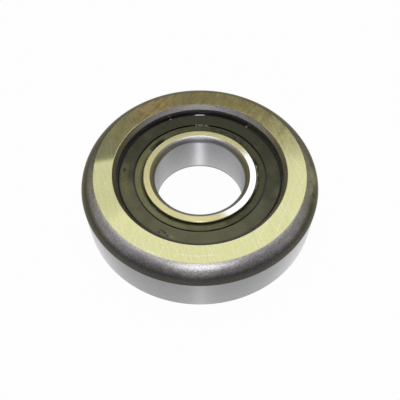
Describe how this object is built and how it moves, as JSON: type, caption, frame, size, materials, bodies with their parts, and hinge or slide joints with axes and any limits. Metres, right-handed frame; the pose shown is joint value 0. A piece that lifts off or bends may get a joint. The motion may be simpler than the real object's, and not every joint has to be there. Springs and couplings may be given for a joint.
{
  "type": "forklift mast roller",
  "caption": "Sealed mast guide roller: a ball bearing with a thick outer ring as the wheel, one large rounded corner, a recessed inner ring and a bore for a stub shaft.",
  "frame": {"origin": "on the roller's axis, in the plane of both rings' back faces", "axes": "+Z along the axis, out of the front face, where the outer ring stands proud; +X through the centre of the first ball"},
  "size_m": [0.118, 0.118, 0.0295],
  "materials": {
    "outer_ring_steel": "ground tread and face, turned and blackened corner",
    "inner_ring_steel": "ground",
    "seal_rubber": "moulded, satin",
    "washer_steel": "pressed sheet",
    "cage_steel": "pressed sheet",
    "ball_steel": "polished",
    "rivet_steel": "headed"
  },
  "bodies": {
    "inner_ring": {"inner_ring": "inner_ring_steel"},
    "outer_ring": {"outer_ring": "outer_ring_steel", "front_seal": "seal_rubber", "back_seal": "seal_rubber", "front_seal_washer": "washer_steel", "back_seal_washer": "washer_steel"},
    "cage": {"cage_front": "cage_steel", "cage_back": "cage_steel", "cage_rivet_1": "rivet_steel", "cage_rivet_2": "rivet_steel", "cage_rivet_3": "rivet_steel", "cage_rivet_4": "rivet_steel", "cage_rivet_5": "rivet_steel", "cage_rivet_6": "rivet_steel", "cage_rivet_7": "rivet_steel", "cage_rivet_8": "rivet_steel"},
    "ball_1": {"ball_1": "ball_steel"},
    "ball_2": {"ball_2": "ball_steel"},
    "ball_3": {"ball_3": "ball_steel"},
    "ball_4": {"ball_4": "ball_steel"},
    "ball_5": {"ball_5": "ball_steel"},
    "ball_6": {"ball_6": "ball_steel"},
    "ball_7": {"ball_7": "ball_steel"},
    "ball_8": {"ball_8": "ball_steel"}
  },
  "joints": [
    {"name": "outer_spin", "type": "hinge", "parent": "inner_ring", "child": "outer_ring", "pos_m": [0, 0, 0.0125], "axis": [0, 0, 1], "continuous": true},
    {"name": "cage_orbit", "type": "hinge", "parent": "inner_ring", "child": "cage", "pos_m": [0, 0, 0.0125], "axis": [0, 0, 1], "continuous": true},
    {"name": "ball_1_spin", "type": "hinge", "parent": "cage", "child": "ball_1", "pos_m": [0.036, 0, 0.0125], "axis": [0, 0, 1], "continuous": true},
    {"name": "ball_2_spin", "type": "hinge", "parent": "cage", "child": "ball_2", "pos_m": [0.02546, 0.02546, 0.0125], "axis": [0, 0, 1], "continuous": true},
    {"name": "ball_3_spin", "type": "hinge", "parent": "cage", "child": "ball_3", "pos_m": [0, 0.036, 0.0125], "axis": [0, 0, 1], "continuous": true},
    {"name": "ball_4_spin", "type": "hinge", "parent": "cage", "child": "ball_4", "pos_m": [-0.02546, 0.02546, 0.0125], "axis": [0, 0, 1], "continuous": true},
    {"name": "ball_5_spin", "type": "hinge", "parent": "cage", "child": "ball_5", "pos_m": [-0.036, 0, 0.0125], "axis": [0, 0, 1], "continuous": true},
    {"name": "ball_6_spin", "type": "hinge", "parent": "cage", "child": "ball_6", "pos_m": [-0.02546, -0.02546, 0.0125], "axis": [0, 0, 1], "continuous": true},
    {"name": "ball_7_spin", "type": "hinge", "parent": "cage", "child": "ball_7", "pos_m": [0, -0.036, 0.0125], "axis": [0, 0, 1], "continuous": true},
    {"name": "ball_8_spin", "type": "hinge", "parent": "cage", "child": "ball_8", "pos_m": [0.02546, -0.02546, 0.0125], "axis": [0, 0, 1], "continuous": true}
  ],
  "couplings": [
    {"joint": "cage_orbit", "follows": "outer_spin", "ratio": 0.61024},
    {"joint": "ball_1_spin", "follows": "outer_spin", "ratio": 2.1575},
    {"joint": "ball_2_spin", "follows": "outer_spin", "ratio": 2.1575},
    {"joint": "ball_3_spin", "follows": "outer_spin", "ratio": 2.1575},
    {"joint": "ball_4_spin", "follows": "outer_spin", "ratio": 2.1575},
    {"joint": "ball_5_spin", "follows": "outer_spin", "ratio": 2.1575},
    {"joint": "ball_6_spin", "follows": "outer_spin", "ratio": 2.1575},
    {"joint": "ball_7_spin", "follows": "outer_spin", "ratio": 2.1575},
    {"joint": "ball_8_spin", "follows": "outer_spin", "ratio": 2.1575}
  ]
}
